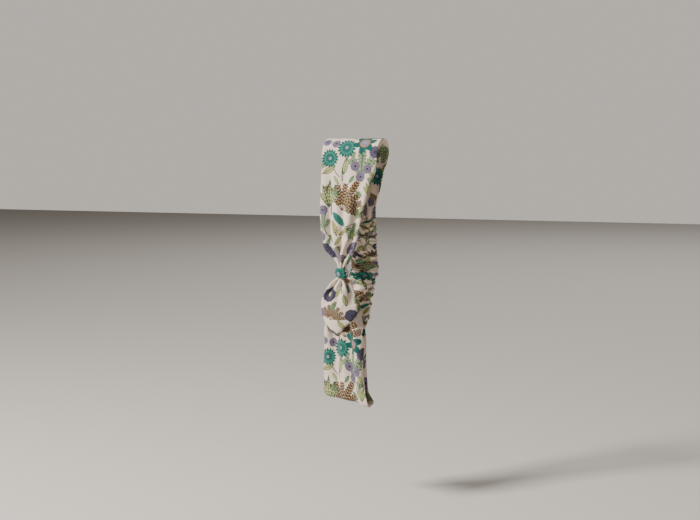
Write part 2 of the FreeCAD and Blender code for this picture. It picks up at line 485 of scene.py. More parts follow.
def lowerPoint(partAcross, below):
    straight = -foldZ
    if below <= straight:
        place, angle = below, 0.0
    else:
        place, angle = straight, (below - straight) / cloth["foldRadius"]
    left, right, y, tilt, bulge, curlLeft, curlRight = through(lowerBand["stations"], place)
    rowX, rowY = rowPoint(
        lowerRows, place, partAcross, lowerBand["width"], right - left, tilt, bulge,
        curlLeft, curlRight, folds=2.6, shift=0.3 - 0.003 * place,
    )
    x = (left + right) / 2 + rowX
    # right of the lobe's point the cloth is tucked in, then rolls out over a soft shoulder
    tuck = 7.5 * smooth(place, 112.0, 126.0) * (1 - smooth(place, 145.5, 152.0))
    tuck *= smooth(x, -11.0, 11.0)
    shoulder = -1.1 * math.exp(-((place - 153.5) / 2.6) ** 2) * smooth(x, -6.0, 3.0)
    crease = 1.2 * math.exp(-((place - 141 - 0.9 * (x + 21)) / 2.2) ** 2) * smooth(-x, 8.0, 12.0)
    ripple = wrinkle((x, 140.0, place), 15.0, 0.9) * (1 - 0.7 * smooth(place, 190.0, 203.0))
    hang = y + rowY + tuck + shoulder + crease + ripple
    lineY, lineZ, tight = foldLineAt(x)
    radius = lineY - hang
    if angle == 0.0:
        return (x, hang, -place + (lineZ - foldZ) * smooth(place, 165.0, straight))
    radius = radius + (tight - radius) * smooth(angle, 0.0, math.pi / 2)
    return (x, lineY - radius * math.cos(angle), lineZ - radius * math.sin(angle))


def lowerCut(partAcross, below):
    across = (partAcross - 0.5) * lowerBand["width"] + lowerBand["printAcross"]
    return (across * mm, (below + lowerBand["printDown"]) * mm)


print("lower front band")
bandLower = clothStrip(
    "band_lower_and_fold", lowerBand["start"], -foldZ + halfTurn, lowerPoint, lowerCut,
    round(lowerBand["width"] / cloth["fineness"]), flip=True, meets="end",
)

# the gathered back: where it hangs, and the folds of its casing

back = {
    # height, left and right edge
    "edges": [
        (51.0, -10.6, 11.6),
        (58.0, -10.6, 10.4),
        (80.0, -10.8, 10.2),
        (98.0, -10.2, 11.9),
        (107.0, -11.8, 9.8),
        (116.0, -13.4, 8.4),
        (131.0, -14.6, 7.2),
        (145.0, -15.4, 5.6),
        (152.0, -15.6, 5.6),
    ],
    "depth": 6.2,
    "foldPitch": 8.4,
    "foldDepth": 4.2,
    "fineness": 0.55,
    "hem": 3.5,  # the flat stretch at each join
    "gather": 2.3,  # cut length of the casing over the length it hangs
    "around": 62.0,
    "thickness": 0.4,
    "printAcross": 46.0,
    "printDown": 63.0,
}


def backLine(z):
    below = max(0.0, elasticZ - z)
    slope = (elasticY - foldY) / (elasticZ - foldZ)
    left, right = through(back["edges"], -z)
    return left, right, elasticY - slope * below


def casingPoint(around, z):
    left, right, y = backLine(z)
    half = (right - left) / 2
    angle = 2 * math.pi * around
    atJoin = 1 - smooth(upperJoinZ - z, 0.0, back["hem"] + 4.0)
    atJoin = max(atJoin, 1 - smooth(z - lowerJoinZ, 0.0, back["hem"] + 4.0))
    depth = back["depth"] * (1 - 0.55 * atJoin) / 2
    cosine, sine = math.cos(angle), math.sin(angle)
    flatX = math.copysign(abs(cosine) ** 0.62, cosine)
    flatY = math.copysign(abs(sine) ** 0.75, sine)
    face = 11.0 if sine > 0 else 47.0
    x = half * flatX
    # folds run across the band, wander, and differ between the two faces
    wander = 1.4 * noise.noise(Vector((x / 9.0, face, z / 16.0)))
    phase = z / back["foldPitch"] + wander + 0.02 * x * (1 if sine > 0 else -1)
    ridge = abs(math.sin(math.pi * phase)) ** 0.75
    small = abs(noise.noise(Vector((x / 7.0 + 5, face, z / 2.1)))) * 1.5
    puff = (0.74 * ridge + 0.30 * small - 0.33) * back["foldDepth"] * (1 - 0.88 * atJoin)
    edge = abs(flatX) ** 3
    sag = 1.1 * math.cos(math.pi * 2 * phase) * (1 - atJoin) * (1 - 0.4 * edge)
    outX = puff * flatX * (0.35 + 0.75 * edge)
    outY = puff * flatY * (1.0 - 0.45 * edge)
    return (
        (left + right) / 2 + x * (1 - 0.03 * atJoin) + outX,
        y + depth * flatY + outY,
        z - sag,
    )


def casingCut(around, z):
    down = (upperJoinZ - z) * back["gather"] + back["printDown"]
    return ((back["printAcross"] - around * back["around"]) * mm, down * mm)


def casingPiece(name, top, bottom):
    return clothStrip(
        name, top, bottom, casingPoint, casingCut, round(back["around"] / back["fineness"]),
        thickness=back["thickness"], fineness=back["fineness"], offset=-1.0, closed=True, flip=True,
    )


print("gathered casing")
casingUpper = casingPiece("casing_upper_gathers", upperJoinZ, middleTopZ)
casingLower = casingPiece("casing_lower_gathers", middleTopZ, lowerJoinZ)

# the elastic inside the casing

elastic = {"width": 18.5, "thickness": 1.2, "cords": 14, "inset": 1.0, "fineness": 1.5}


def elasticPiece(name, top, bottom):
    def point(partAcross, z):
        left, right, y = backLine(z)
        ribs = 0.12 * math.sin(2 * math.pi * elastic["cords"] * partAcross)
        return ((left + right) / 2 + (partAcross - 0.5) * elastic["width"], y + ribs, z)

    def cut(partAcross, z):
        return (partAcross * elastic["width"] * mm, (top - z) * mm)

    return clothStrip(
        name, top, bottom, point, cut, elastic["cords"] * 6,
        thickness=elastic["thickness"], fineness=elastic["fineness"],
    )


print("elastic")
elasticUpper = elasticPiece("elastic_strip_upper", upperJoinZ - elastic["inset"], middleTopZ)
elasticLower = elasticPiece("elastic_strip_lower", middleTopZ, lowerJoinZ + elastic["inset"])

# the flaps of band between the rail, the casing and the bottom fold

upperFlap = {
    "wide": 51.0,
    "narrow": 34.0,
    "across": 68,
    # below the rail: left, right, y, bulge, left curl, right curl
    "stations": [
        (0.0, -25.0, 24.4, 13.4, 0.00, 0.0, 0.0),
        (7.0, -23.4, 22.9, 13.6, 0.02, 0.2, 0.2),
        (13.0, -21.2, 20.8, 13.6, 0.05, 0.5, 0.5),
        (22.0, -18.4, 18.9, 13.7, 0.10, 0.8, 0.8),
        (30.0, -16.2, 17.6, 13.8, 0.16, 0.9, 0.9),
        (38.0, -13.4, 14.8, 14.0, 0.20, 0.8, 0.8),
        (47.0, -11.4, 12.9, 14.0, 0.14, 0.5, 0.5),
        (55.0, -10.6, 12.2, 14.0, 0.00, 0.2, 0.2),
        (58.0, -10.4, 12.0, 14.0, 0.00, 0.0, 0.0),
    ],
}
upperFlapRows = {}


def upperFlapWidth(below):
    return upperFlap["wide"] - (upperFlap["wide"] - upperFlap["narrow"]) * smooth(below, 5, 50)


def upperFlapPoint(partAcross, down):
    if down < quarterRing:
        squeeze = smooth(down, 4.0, quarterRing)
        left = cloth["railLeft"] + 0.4 * squeeze
        right = cloth["railRight"] - 1.6 * squeeze
        return overRail(left + (right - left) * partAcross, down, 1, 60.0)
    below = down - quarterRing
    left, right, y, bulge, curlLeft, curlRight = through(upperFlap["stations"], below)
    rowX, rowY = rowPoint(
        upperFlapRows, below, partAcross, upperFlapWidth(below), right - left, 0.0, bulge,
        curlLeft, curlRight, folds=4.3, shift=0.1 + 0.003 * below,
    )
    x = (left + right) / 2 + rowX
    ripple = wrinkle((x, 200.0, below), 9.0, 1.0) * smooth(below, 4.0, 20.0)
    ripple *= 1 - smooth(below, 46.0, 54.0)
    return (x, y - rowY + ripple, -below)


def upperFlapCut(partAcross, down):
    across = (partAcross - 0.5) * upperFlapWidth(down - quarterRing)
    return (across * mm, (printed["atRail"] - down) * mm)


lowerFlap = {
    "wide": 50.0,
    "narrow": 33.0,
    "across": 68,
    # below the rail: left, right, y, tilt, bulge, left curl, right curl
    "stations": [
        (146.0, -15.4, 5.4, 6.6, 0.00, 0.00, 0.0, 0.0),
        (150.0, -15.6, 5.5, 6.2, 0.00, 0.00, 0.2, 0.2),
        (157.0, -17.0, 5.9, 5.6, -0.02, 0.12, 0.6, 0.6),
        (168.0, -19.6, 6.3, 4.9, -0.05, 0.18, 0.9, 0.9),
        (180.0, -23.0, 7.0, 4.2, -0.08, 0.14, 0.8, 0.9),
        (189.0, -25.8, 8.4, 3.2, -0.11, 0.10, 0.4, 0.8),
        (197.0, -27.8, 11.2, 2.6, -0.12, 0.04, 0.1, 0.4),
        (203.5, -28.6, 19.0, 2.8, -0.13, 0.00, 0.0, 0.0),
    ],
}
lowerFlapRows = {}


def lowerFlapWidth(place):
    return lowerFlap["narrow"] + (lowerFlap["wide"] - lowerFlap["narrow"]) * smooth(place, 150.0, 196.0)


def lowerFlapPoint(partAcross, up):
    # up is the distance from the middle of the bottom fold, along the back of the loop
    if up < halfTurn:
        place, angle = -foldZ, math.pi / 2 - up / cloth["foldRadius"]
    else:
        place, angle = -foldZ - (up - halfTurn), 0.0
    left, right, y, tilt, bulge, curlLeft, curlRight = through(lowerFlap["stations"], place)
    rowX, rowY = rowPoint(
        lowerFlapRows, place, partAcross, lowerFlapWidth(place), right - left, tilt, bulge,
        curlLeft, curlRight, folds=3.4, shift=0.2 + 0.004 * place,
    )
    x = (left + right) / 2 + rowX
    ripple = wrinkle((x, 300.0, place), 10.0, 1.0) * smooth(place, 152.0, 165.0)
    ripple *= 1 - smooth(place, 185.0, 200.0)
    lineY, lineZ, tight = foldLineAt(x)
    hang = y + rowY + ripple
    hang += (lineY + tight - hang) * smooth(place, 192.0, -foldZ)
    if place >= -foldZ:
        radius = tight + (hang - lineY - tight) * (1 - smooth(angle, 0, 1.5))
        return (x, lineY + radius * math.cos(angle), lineZ - radius * math.sin(angle))
    return (x, hang, -place + (lineZ - foldZ) * smooth(place, 165.0, -foldZ))


def lowerFlapCut(partAcross, up):
    middle = -foldZ + halfTurn
    across = (partAcross - 0.5) * lowerFlapWidth(middle - up) + lowerBand["printAcross"]
    return (across * mm, (middle + lowerBand["printDown"] + up) * mm)


print("back flaps")
upperFlapLength = quarterRing - upperJoinZ + 2.0
lowerFlapLength = halfTurn + lowerJoinZ - foldZ + 2.0
flapUpper = clothStrip(
    "back_flap_upper", 0.0, upperFlapLength, upperFlapPoint, upperFlapCut,
    upperFlap["across"], meets="start",
)
flapLower = clothStrip(
    "back_flap_lower", 0.0, lowerFlapLength, lowerFlapPoint, lowerFlapCut,
    lowerFlap["across"], flip=True, meets="start",
)

# stitches

stitch = {"length": 2.1, "radius": 0.26, "gap": 0.9, "proud": 1.95}


def threadBar(bm, start, end, radius):
    # one stitch: a thread that dips into the cloth at both ends
    direction = (end - start).normalized()
    side = direction.orthogonal().normalized()
    other = direction.cross(side)
    rings = []
    for part in (0.0, 0.12, 0.35, 0.65, 0.88, 1.0):
        thin = radius * (0.35 + 0.65 * math.sin(math.pi * (0.08 + 0.84 * part)))
        ring = bmesh.ops.create_circle(bm, segments=8, radius=thin)["verts"]
        for vert in ring:
            vert.co = start.lerp(end, part) + side * vert.co.x + other * vert.co.y
        rings.append(ring)
    for first, second in zip(rings, rings[1:]):
        edges = [e for e in bm.edges if all(v in first for v in e.verts)]
        edges += [e for e in bm.edges if all(v in second for v in e.verts)]
        bmesh.ops.bridge_loops(bm, edges=edges)
    for ring in (rings[0], rings[-1]):
        bmesh.ops.contextual_create(bm, geom=[e for e in bm.edges if all(v in ring for v in e.verts)])


def stitchPiece(name, bars, radius):
    bm = bmesh.new()
    for start, end in bars:
        part = bmesh.new()
        threadBar(part, Vector(start) * mm, Vector(end) * mm, radius * mm)
        bmesh.ops.recalc_face_normals(part, faces=part.faces)
        mesh = bpy.data.meshes.new("stitch")
        part.to_mesh(mesh)
        part.free()
        bm.from_mesh(mesh)
        bpy.data.meshes.remove(mesh)
    return pieceFrom(bm, name)


def joinStitches(name, z):
    left, right, y = backLine(z)
    bars = []
    x = left + 1.8
    while x + stitch["length"] < right - 1.2:
        for side in (-1, 1):
            face = y + side * stitch["proud"]
            bars.append(((x, face, z), (x + stitch["length"], face, z + 0.12)))
        x += stitch["length"] + stitch["gap"]
    return stitchPiece(name, bars, stitch["radius"])


def knotStitches():
    bars = []
    for number in range(4):
        x = knotX - 1.8 + 1.2 * number
        bars.append(((x, knotY + 5.2, knotZ - 2.2 + 0.3 * number), (x + 0.7, knotY + 5.3, knotZ + 1.6)))
    return stitchPiece("knot_tacks", bars, stitch["radius"])


print("stitches")
stitchesUpper = joinStitches("upper_join_thread", upperJoinZ - 2.2)
stitchesLower = joinStitches("lower_join_thread", lowerJoinZ + 2.2)
knotTacks = knotStitches()

# cloth print and weave


def srgb(red, green, blue):
    def linear(value):
        value /= 255
        return value / 12.92 if value <= 0.04045 else ((value + 0.055) / 1.055) ** 2.4

    return (linear(red), linear(green), linear(blue), 1.0)


ink = {
    "ground": srgb(232, 216, 201),
    "teal": srgb(22, 90, 84),
    "tealPale": srgb(70, 140, 124),
    "tealDark": srgb(12, 56, 62),
    "mauve": srgb(94, 86, 108),
    "mauveDark": srgb(56, 53, 74),
    "lilac": srgb(150, 138, 158),
    "olive": srgb(80, 68, 38),
    "oliveDark": srgb(50, 46, 26),
    "orange": srgb(176, 112, 58),
    "leaf": srgb(140, 172, 124),
    "leafDark": srgb(36, 72, 54),
    "yellow": srgb(214, 198, 112),
    "sage": srgb(82, 112, 80),
    "blueGreen": srgb(78, 134, 128),
}


# how the cloth's surface looks; lengths in metres
finish = {
    "bleed": 0.0004,  # how far the ink creeps along the threads
    "threadPitch": 0.00042,
    "threadRelief": 0.00012,
    "rumple": 0.42,
    "roughness": 0.80,
    "specular": 0.18,
    "sheen": 0.12,
}


class Sums:
    # short names for the nodes of one node tree
    def __init__(self, tree):
        self.tree = tree

    def give(self, node, given):
        for socket, value in given.items():
            if isinstance(value, bpy.types.NodeSocket):
                self.tree.links.new(value, node.inputs[socket])
            else:
                node.inputs[socket].default_value = value

    def node(self, kind, given, **settings):
        made = self.tree.nodes.new("ShaderNode" + kind)
        for setting, value in settings.items():
            setattr(made, setting, value)
        self.give(made, given)
        return made

    def maths(self, operation, *values):
        return self.node("Math", dict(enumerate(values)), operation=operation).outputs[0]

    def add(self, a, b):
        return self.maths("ADD", a, b)

    def sub(self, a, b):
        return self.maths("SUBTRACT", a, b)

    def mul(self, a, b):
        return self.maths("MULTIPLY", a, b)

    def fma(self, a, b, c):
        return self.maths("MULTIPLY_ADD", a, b, c)

    def size(self, a):
        return self.maths("ABSOLUTE", a)

    def zigzag(self, a):
        # 0.5 at each whole number, 0 half way between
        return self.size(self.sub(self.maths("FRACT", a), 0.5))

    def radius(self, x, y):
        return self.maths("SQRT", self.fma(x, x, self.mul(y, y)))

    def edge(self, distance, blur):
        # 1 inside, where distance is above 0, with a soft edge
        given = {"Value": distance, "From Min": -blur, "From Max": blur}
        return self.node("MapRange", given, interpolation_type="SMOOTHSTEP").outputs["Result"]

    def blend(self, factor, a, b):
        return self.node("Mix", {"Factor": factor, 6: a, 7: b}, data_type="RGBA").outputs[2]

    def noise(self, where, scale, detail, distortion=0.0):
        given = {"Vector": where, "Scale": scale, "Detail": detail, "Distortion": distortion}
        return self.node("TexNoise", given)

    def vector(self, operation, given):
        return self.node("VectorMath", given, operation=operation).outputs[0]


def newMaterial(name):
    material = bpy.data.materials.new(name)
    material.use_nodes = True
    return material, Sums(material.node_tree), material.node_tree.nodes["Principled BSDF"]


def motifGroup(name, draw):
    tree = bpy.data.node_groups.new(name, "ShaderNodeTree")
    tree.interface.new_socket("At", in_out="INPUT", socket_type="NodeSocketVector")
    for colour in ("Main", "Second", "Line", "Below"):
        tree.interface.new_socket(colour, in_out="INPUT", socket_type="NodeSocketColor")
    tree.interface.new_socket("Colour", in_out="OUTPUT", socket_type="NodeSocketColor")
    given = tree.nodes.new("NodeGroupInput").outputs
    s = Sums(tree)
    apart = s.node("SeparateXYZ", {0: given["At"]})
    colour, mask = draw(s, apart.outputs[0], apart.outputs[1], given)
    outs = tree.nodes.new("NodeGroupOutput")
    tree.links.new(s.blend(mask, given["Below"], colour), outs.inputs[0])
    return tree


def polar(s, x, y, count):
    radius = s.radius(x, y)
    turn = s.mul(s.maths("ARCTAN2", y, x), count / (2 * math.pi))
    petal = s.zigzag(s.add(turn, 100.0))
    return radius, petal


def drawDaisy(s, x, y, given):
    radius, petal = polar(s, x, y, 17)
    rim = s.fma(petal, -0.52, 1.0)
    mask = s.edge(s.sub(rim, radius), 0.03)
    gaps = s.mul(s.edge(s.sub(petal, 0.40), 0.05), s.edge(s.sub(radius, 0.30), 0.04))
    ring = s.edge(s.sub(0.045, s.size(s.sub(radius, s.fma(petal, 0.30, 0.50)))), 0.02)
    colour = s.blend(s.maths("MAXIMUM", gaps, ring), given["Main"], given["Second"])
    heart = s.edge(s.sub(0.17, radius), 0.03)
    return s.blend(heart, colour, given["Line"]), mask


def drawStar(s, x, y, given):
    radius, petal = polar(s, x, y, 6)
    rim = s.sub(1.0, s.mul(s.maths("POWER", s.mul(petal, 2.0), 1.35), 0.46))
    inside = s.sub(rim, radius)
    mask = s.edge(inside, 0.02)
    lines = s.edge(s.sub(0.03, petal), 0.015)
    rimLine = s.edge(s.sub(0.035, inside), 0.02)
    colour = s.blend(s.mul(s.maths("MAXIMUM", lines, rimLine), 0.55), given["Main"], ink["tealDark"])
    centre, scallop = polar(s, x, y, 12)
    cup = s.sub(s.fma(scallop, 0.12, 0.40), centre)
    colour = s.blend(s.edge(cup, 0.02), colour, given["Second"])
    colour = s.blend(s.edge(s.sub(cup, 0.07), 0.02), colour, given["Line"])
    dots = s.edge(s.sub(s.mul(scallop, centre), 0.075), 0.02)
    colour = s.blend(s.mul(dots, s.edge(s.sub(0.3, centre), 0.02)), colour, ink["mauveDark"])
    return colour, mask


def drawBloom(s, x, y, given):
    radius, petal = polar(s, x, y, 9)
    rim = s.fma(petal, -0.16, 1.0)
    mask = s.edge(s.sub(rim, radius), 0.04)
    wave = s.zigzag(s.mul(s.sub(radius, s.mul(petal, 0.12)), 3.4))
    rings = s.edge(s.sub(wave, 0.30), 0.10)
    colour = s.blend(s.mul(rings, 0.75), given["Main"], given["Second"])
    heart = s.edge(s.sub(0.24, radius), 0.06)
    return s.blend(heart, colour, given["Line"]), mask


def fanOf(count, spread, pitch, leaflet, droop, heart):
    # fronds fan out from the foot of the motif, and carry slanting leaflets in pairs
    def draw(s, x, y, given):
        radius = s.radius(x, y)
        angle = s.maths("DIVIDE", s.maths("ARCTAN2", x, y), s.fma(radius, droop, 1.0))
        cell = s.mul(angle, count / (2 * spread))
        last = (count - 1) / 2  # the outer fronds keep the leaflets on their far side
        index = s.maths("MAXIMUM", s.maths("MINIMUM", s.maths("ROUND", cell), last), -last)
        side = s.mul(s.mul(s.sub(cell, index), 2 * spread / count), s.fma(radius, 1 + droop, 0.02))
        aside = s.size(side)
        reach = s.sub(1.0, s.mul(s.size(s.maths("SINE", s.mul(index, 2.2))), 0.22))
        size = s.mul(s.sub(1.25, s.mul(radius, 0.45)), leaflet)
        size = s.maths("MINIMUM", size, s.mul(radius, spread / count * 0.78))
        place = s.mul(s.sub(radius, s.mul(aside, 0.8)), 1 / pitch)
        row = s.mul(s.sub(s.maths("FRACT", s.add(place, 0.5)), 0.5), pitch)
        out = s.sub(aside, s.mul(size, 0.95))
        dot = s.add(s.maths("POWER", s.maths("DIVIDE", out, size), 2.0),
                    s.maths("POWER", s.mul(row, 2.15 / pitch), 2.0))
        leaves = s.edge(s.sub(1.0, dot), 0.16)
        stalk = s.edge(s.sub(leaflet * 0.20, aside), 0.006)
        length = s.edge(s.sub(reach, radius), 0.02)
        leaves = s.mul(leaves, s.edge(s.sub(radius, 0.17), 0.02))
        mask = s.mul(s.maths("MAXIMUM", leaves, stalk), length)
        inner = s.edge(s.sub(heart, dot), 0.10)
        colour = s.blend(inner, given["Main"], given["Second"])
        rim = s.mul(s.edge(s.sub(dot, 0.66), 0.14), s.sub(1.0, stalk))
        return s.blend(s.mul(rim, 0.75), colour, given["Line"]), mask

    return draw


def drawLeaf(s, x, y, given):
    # a pointed leaf along y, from -1 to 1
    width = s.sub(0.36, s.mul(s.mul(y, y), 0.36))
    aside = s.size(x)
    inside = s.sub(width, aside)
    mask = s.edge(inside, 0.02)
    veins = s.zigzag(s.mul(s.sub(y, s.mul(aside, 1.3)), 3.2))
    stripes = s.edge(s.sub(veins, 0.27), 0.08)
    band = s.edge(s.sub(0.22, aside), 0.04)
    colour = s.blend(s.mul(stripes, band), given["Main"], given["Second"])
    lines = s.maths("MAXIMUM", s.edge(s.sub(0.08, inside), 0.03), s.edge(s.sub(0.035, aside), 0.02))
    return s.blend(lines, colour, given["Line"]), mask


def drawBlades(s, x, y, given):
    # long outlined blades that fan out from one foot
    count, spread = 5, 0.75
    radius = s.radius(x, y)
    angle = s.maths("ARCTAN2", x, y)
    cell = s.mul(angle, count / (2 * spread))
    index = s.maths("ROUND", cell)
    aside = s.size(s.mul(s.mul(s.sub(cell, index), 2 * spread / count), radius))
    reach = s.sub(1.0, s.mul(s.size(index), 0.14))
    along = s.maths("DIVIDE", radius, reach)
    width = s.mul(s.mul(s.sub(1.0, along), s.maths("SQRT", along)), 0.27)
    inside = s.sub(width, aside)
    mask = s.mul(s.edge(inside, 0.01), s.edge(s.sub(count / 2, s.size(cell)), 0.02))
    veins = s.zigzag(s.mul(s.sub(radius, s.mul(aside, 1.4)), 9.0))
    stripes = s.edge(s.sub(veins, 0.27), 0.10)
    colour = s.blend(stripes, given["Main"], given["Second"])
    lines = s.maths("MAXIMUM", s.edge(s.sub(0.026, inside), 0.01), s.edge(s.sub(0.012, aside), 0.006))
    return s.blend(lines, colour, given["Line"]), mask


def drawStem(s, x, y, given):
    # a thin arc along y, from -1 to 1
    bend = s.fma(s.mul(y, y), -0.22, x)
    mask = s.mul(s.edge(s.sub(0.05, s.size(bend)), 0.02),
                 s.edge(s.sub(1.0, s.size(y)), 0.03))
    return given["Line"], mask


def drawSpike(s, x, y, given):
    # a flower spike along y, from -1 to 1, in overlapping scales
    width = s.sub(0.34, s.mul(s.maths("POWER", s.size(y), 2.6), 0.30))
    scale = s.mul(s.zigzag(s.mul(y, 4.5)), 0.12)
    aside = s.size(x)
    mask = s.mul(s.edge(s.sub(s.sub(width, scale), aside), 0.03),
                 s.edge(s.sub(1.0, s.size(y)), 0.03))
    scales = s.zigzag(s.mul(s.sub(y, s.mul(aside, 1.6)), 4.5))
    marks = s.edge(s.sub(scales, 0.33), 0.08)
    return s.blend(marks, given["Main"], given["Second"]), mask


# main ink, second ink and line
colourways = {
    "stem": ("leafDark", "leaf", "leafDark"),
    "sage": ("sage", "leaf", "leafDark"),
    "olive": ("olive", "orange", "oliveDark"),
    "gold": ("yellow", "blueGreen", "leafDark"),
    "leaf": ("leaf", "yellow", "leafDark"),
    "moss": ("olive", "leaf", "leafDark"),
    "russet": ("olive", "orange", "leafDark"),
    "sunny": ("sage", "yellow", "leafDark"),
    "cool": ("leaf", "blueGreen", "leafDark"),
    "soft": ("leaf", "sage", "leafDark"),
    "bright": ("yellow", "teal", "leafDark"),
    "mauve": ("mauve", "lilac", "mauveDark"),
    "teal": ("teal", "tealPale", "tealDark"),
    "lilac": ("lilac", "mauveDark", "mauveDark"),
    "dusk": ("mauve", "mauveDark", "mauveDark"),
    "plum": ("mauveDark", "mauve", "mauveDark"),
    "plumGold": ("mauveDark", "mauve", "yellow"),
    "daisy": ("teal", "tealPale", "lilac"),
    "star": ("teal", "orange", "lilac"),
}

# a motif, its inks, where it lies across and down the cloth, its turn in degrees and its size
motifPlan = [
    ("stem", "stem", -5.0, 22.0, 12, 11.0),
    ("stem", "stem", -13.5, 23.0, -28, 9.0),
    ("stem", "sage", 12.5, 18.0, 4, 13.0),
    ("stem", "sage", -14.5, 50.0, 8, 12.0),
    ("stem", "sage", -20.5, 70.0, -6, 9.0),
    ("stem", "sage", 0.5, 71.0, -42, 7.0),
    ("stem", "sage", 8.0, 70.0, 72, 6.0),
    ("stem", "sage", -11.0, 88.0, -24, 10.0),
    ("stem", "sage", -17.5, 156.0, -15, 9.0),
    ("spray", "sage", 12.5, 32.0, 0, 25.0),
    ("fern", "olive", -4.5, 58.0, 30, 28.0),
    ("blades", "gold", -17.0, 56.0, 0, 25.0),
    ("spray", "sage", -21.0, 76.0, -4, 14.0),
    ("spray", "sage", 9.5, 84.0, 14, 16.0),
    ("blades", "leaf", 21.5, 46.0, 0, 15.0),
    ("spray", "sage", 20.0, 62.0, 160, 12.0),
    ("spray", "moss", -3.0, 105.0, -8, 17.0),
    ("spray", "olive", -15.0, 104.0, 24, 12.0),
    ("fern", "olive", -12.5, 138.0, 14, 16.0),
    ("leaf", "leaf", -4.0, 142.0, -30, 5.0),
    ("spray", "russet", 9.0, 108.0, 14, 12.0),
    ("fern", "olive", 3.0, 166.0, 12, 25.0),
    ("spray", "sage", 20.5, 150.0, 4, 18.0),
    ("spray", "sunny", -17.5, 162.0, 10, 15.0),
    ("blades", "cool", 24.0, 104.0, 8, 16.0),
    ("spray", "sage", -24.5, 24.0, 6, 10.0),
    ("spray", "sage", 4.0, 14.5, -8, 7.0),
    ("spray", "sage", 20.5, 36.5, 16, 8.0),
    ("spray", "sage", -24.0, 104.0, -6, 11.0),
    ("spray", "sage", -5.0, 164.0, -10, 12.0),
    ("spray", "sage", 12.0, 66.0, 30, 9.0),
    ("spray", "sage", -9.5, 46.0, -30, 6.0),
    ("spray", "sage", -25.0, 122.0, 6, 11.0),
    ("spray", "sage", 14.5, 140.0, -16, 10.0),
    ("spray", "sage", -14.0, 128.0, 70, 7.0),
    ("leaf", "gold", 22.0, 29.0, -24, 5.2),
    ("leaf", "leaf", 17.0, 57.0, 36, 5.0),
    ("leaf", "soft", 12.0, 44.0, -60, 4.4),
    ("leaf", "leaf", 12.0, 79.0, -30, 4.6),
    ("leaf", "cool", -17.0, 86.0, 20, 4.6),
    ("leaf", "gold", 9.5, 120.0, 24, 4.8),
    ("leaf", "leaf", 25.0, 138.0, 30, 5.0),
    ("leaf", "bright", 9.5, 151.0, -40, 5.0),
    ("bloom", "mauve", 24.0, 76.0, 0, 4.6),
    ("bloom", "mauve", 8.5, 99.0, 0, 4.2),
    ("bloom", "mauve", -12.0, 150.0, 0, 4.4),
    ("leaf", "gold", -17.8, 24.0, 62, 7.4),
    ("leaf", "leaf", -2.6, 21.0, 14, 7.4),
    ("leaf", "leaf", -10.6, 32.5, -34, 4.4),
    ("leaf", "soft", 3.6, 32.0, 30, 4.2),
    ("leaf", "bright", -9.8, 73.0, -24, 7.2),
    ("leaf", "bright", 1.2, 76.0, 66, 7.2),
    ("leaf", "soft", -13.0, 82.0, -50, 5.0),
    ("leaf", "leaf", -5.0, 83.5, 40, 5.0),
    ("leaf", "leaf", -14.5, 95.0, 34, 4.4),
    ("leaf", "leaf", -8.0, 115.0, 36, 5.0),
    ("leaf", "cool", -4.0, 111.0, -28, 5.0),
    ("leaf", "leaf", 0.2, 121.0, -12, 5.2),
    ("leaf", "cool", 1.0, 146.0, 30, 5.4),
    ("leaf", "gold", -24.0, 150.0, 24, 6.0),
    ("leaf", "gold", 24.5, 126.0, -12, 6.5),
    ("spike", "teal", -6.5, 65.5, -42, 8.6),
    ("spike", "lilac", -8.5, 95.0, -8, 6.5),
    ("spike", "mauve", 1.5, 93.5, 10, 7.5),
    ("spike", "teal", 21.0, 112.0, 8, 7.5),
    ("bloom", "mauve", -21.7, 0.0, 0, 3.8),
    ("bloom", "mauve", -13.2, 1.4, 0, 4.0),
    ("bloom", "dusk", 24.0, 9.0, 0, 5.4),
    ("bloom", "mauve", 6.6, 20.8, 0, 4.4),
    ("bloom", "mauve", 18.0, 23.0, 0, 4.0),
    ("bloom", "mauve", 11.5, 29.6, 0, 4.6),
    ("bloom", "mauve", -22.3, 58.0, 0, 4.4),
    ("bloom", "mauve", -24.3, 80.5, 0, 5.6),
    ("bloom", "plum", -20.4, 92.0, 0, 6.6),
    ("bloom", "mauve", 17.0, 90.0, 0, 5.6),
    ("bloom", "plumGold", -16.0, 116.5, 0, 6.8),
    ("bloom", "mauve", -22.5, 132.5, 0, 4.8),
    ("bloom", "plum", 4.6, 134.0, 0, 5.6),
    ("daisy", "daisy", -17.3, 14.2, 0, 8.4),
    ("daisy", "daisy", -2.4, 5.2, 0, 9.2),
    ("daisy", "daisy", 16.5, 121.0, 0, 8.5),
    ("star", "star", 13.2, 0.6, 12, 10.5),
]


